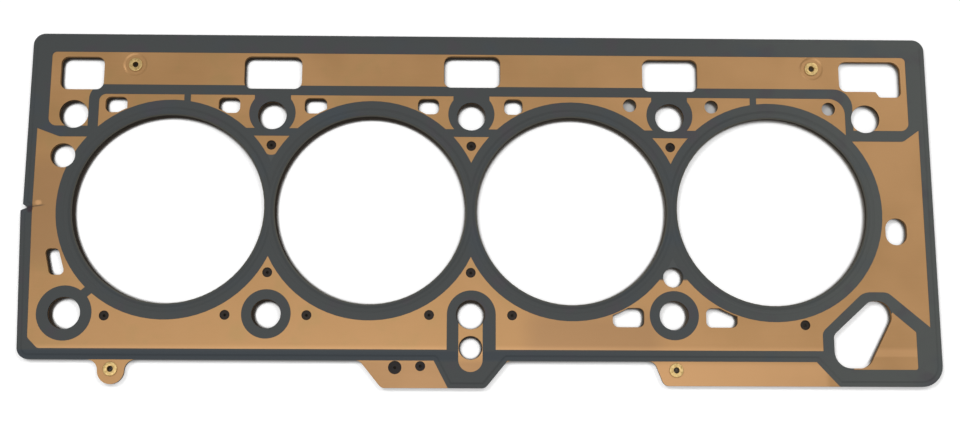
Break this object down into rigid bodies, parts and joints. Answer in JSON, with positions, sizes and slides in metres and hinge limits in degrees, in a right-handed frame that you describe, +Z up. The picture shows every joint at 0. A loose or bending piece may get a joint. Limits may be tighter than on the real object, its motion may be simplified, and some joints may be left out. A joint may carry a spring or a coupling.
{
  "type": "cylinder head gasket",
  "caption": "Flat layered steel cylinder head gasket: round cylinder bores in a row, bolt holes, oil and water openings, printed sealing lines and hollow rivets.",
  "frame": {"origin": "centre of the grid of head bolts, midway between the two bolts of the middle web, on the face that meets the block", "axes": "+X along the row of bores, +Y towards the edge with the drain windows, +Z up, out of the block and into the head"},
  "size_m": [0.3903, 0.1527, 0.0022],
  "materials": {
    "coated_steel": "bronze coloured coating on spring steel, satin",
    "bare_steel": "uncoated rolled steel, dark and dull",
    "sealing_print": "screen printed sealing coat, dark grey, semi-matt",
    "rivet_brass": "yellow passivated, satin"
  },
  "bodies": {
    "root": {"upper_bead_sheet": "coated_steel", "lower_bead_sheet": "coated_steel", "carrier_sheet": "bare_steel", "stopper_ring_1": "bare_steel", "stopper_ring_2": "bare_steel", "stopper_ring_3": "bare_steel", "stopper_ring_4": "bare_steel", "rivets": "rivet_brass", "upper_seal_print": "sealing_print", "lower_seal_print": "sealing_print", "upper_bolt_prints": "sealing_print", "lower_bolt_prints": "sealing_print"}
  },
  "joints": []
}
